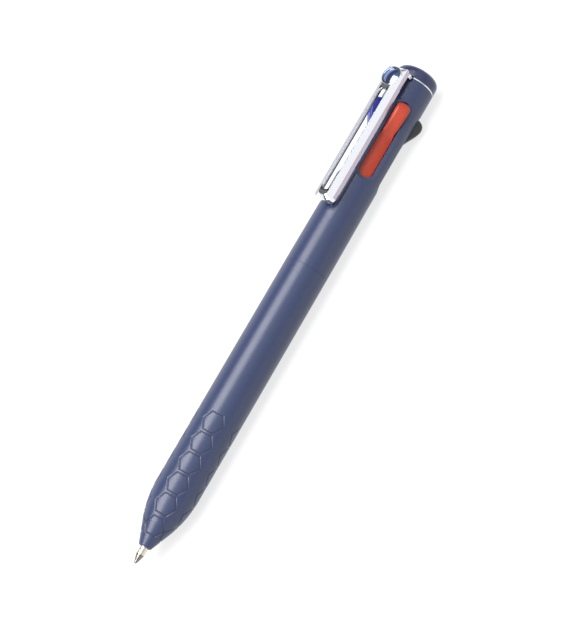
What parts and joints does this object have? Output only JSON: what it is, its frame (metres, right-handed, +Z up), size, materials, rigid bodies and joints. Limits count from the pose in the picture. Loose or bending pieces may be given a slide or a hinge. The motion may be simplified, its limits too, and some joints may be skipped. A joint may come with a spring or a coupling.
{
  "type": "multicolor click pen",
  "caption": "Multicolour ballpoint pen with thumb sliders around a slim barrel, chrome spring clip, engraved hexagon grip and pull-out refills.",
  "frame": {"origin": "on the surface that the pen lies on, under the middle of its length", "axes": "+X along the pen from the writing point to the cap, +Z up through the clip, +Y across"},
  "size_m": [0.1452, 0.0126, 0.0165],
  "materials": {
    "barrel": "satin navy",
    "cap": "gloss dark navy",
    "guide": "moulded grey",
    "chrome": "bright plating",
    "dome": "polished with a blue tint",
    "slider_red": "satin",
    "slider_black": "satin",
    "slider_green": "satin",
    "slider_blue": "satin",
    "spring": "drawn wire",
    "refill_tube": "translucent",
    "ink_red": "liquid",
    "ink_black": "liquid",
    "ink_green": "liquid",
    "ink_blue": "liquid",
    "point": "turned nickel silver",
    "ball": "polished"
  },
  "bodies": {
    "upper_body": {"upper_barrel": "barrel", "top_cap": "cap", "slider_guide": "guide", "spring_seat": "guide", "thread_sleeve": "guide", "clip_plate": "chrome", "spring_red": "spring", "spring_black": "spring", "spring_green": "spring", "spring_blue": "spring"},
    "clip_body": {"clip": "chrome", "clip_dome": "dome"},
    "lower_body": {"lower_barrel": "barrel"},
    "red_slider": {"slider_red": "slider_red", "refill_tube_red": "refill_tube", "ink_red": "ink_red"},
    "red_point": {"point_red": "point", "ball_red": "ball"},
    "black_slider": {"slider_black": "slider_black", "refill_tube_black": "refill_tube", "ink_black": "ink_black"},
    "black_point": {"point_black": "point", "ball_black": "ball"},
    "green_slider": {"slider_green": "slider_green", "refill_tube_green": "refill_tube", "ink_green": "ink_green"},
    "green_point": {"point_green": "point", "ball_green": "ball"},
    "blue_slider": {"slider_blue": "slider_blue", "refill_tube_blue": "refill_tube", "ink_blue": "ink_blue"},
    "blue_point": {"point_blue": "point", "ball_blue": "ball"}
  },
  "joints": [
    {"name": "clip_flex", "type": "hinge", "parent": "upper_body", "child": "clip_body", "pos_m": [0.0684, 0, 0.01119], "axis": [0, 1, 0], "range_deg": [0, 5], "stiffness_Nm_per_rad": 1.5, "springref_deg": -1.72},
    {"name": "lower_barrel_off", "type": "slide", "parent": "upper_body", "child": "lower_body", "axis": [-1, 0, 0], "range_m": [0, 0.09]},
    {"name": "red_slide", "type": "slide", "parent": "upper_body", "child": "red_slider", "axis": [-1, 0, 0], "range_m": [0, 0.01], "stiffness_N_per_m": 80, "springref_m": -0.004, "deforming": ["spring_red", "refill_tube_red", "ink_red", "point_red", "ball_red"]},
    {"name": "black_slide", "type": "slide", "parent": "upper_body", "child": "black_slider", "axis": [-1, 0, 0], "range_m": [0, 0.01], "stiffness_N_per_m": 80, "springref_m": -0.004, "deforming": ["spring_black", "refill_tube_black", "ink_black", "point_black", "ball_black"]},
    {"name": "green_slide", "type": "slide", "parent": "upper_body", "child": "green_slider", "axis": [1, 0, 0], "range_m": [0, 0.01], "deforming": ["spring_green", "refill_tube_green", "ink_green", "point_green", "ball_green"]},
    {"name": "blue_slide", "type": "slide", "parent": "upper_body", "child": "blue_slider", "axis": [-1, 0, 0], "range_m": [0, 0.01], "stiffness_N_per_m": 80, "springref_m": -0.004, "deforming": ["spring_blue", "refill_tube_blue", "ink_blue", "point_blue", "ball_blue"]},
    {"name": "red_point_steer", "type": "slide", "parent": "red_slider", "child": "red_point", "axis": [0, 0.7071, -0.7071], "range_m": [0, 0.00269]},
    {"name": "black_point_steer", "type": "slide", "parent": "black_slider", "child": "black_point", "axis": [0, 0.7071, 0.7071], "range_m": [0, 0.00269]},
    {"name": "green_point_steer", "type": "slide", "parent": "green_slider", "child": "green_point", "axis": [0, 0.7071, -0.7071], "range_m": [0, 0.00269]},
    {"name": "blue_point_steer", "type": "slide", "parent": "blue_slider", "child": "blue_point", "axis": [0, -0.7071, -0.7071], "range_m": [0, 0.00269]}
  ],
  "couplings": [
    {"joint": "red_point_steer", "follows": "red_slide", "ratio": 0.26946},
    {"joint": "black_point_steer", "follows": "black_slide", "ratio": 0.26946},
    {"joint": "green_point_steer", "follows": "green_slide", "ratio": 0.26946},
    {"joint": "blue_point_steer", "follows": "blue_slide", "ratio": 0.26946}
  ]
}
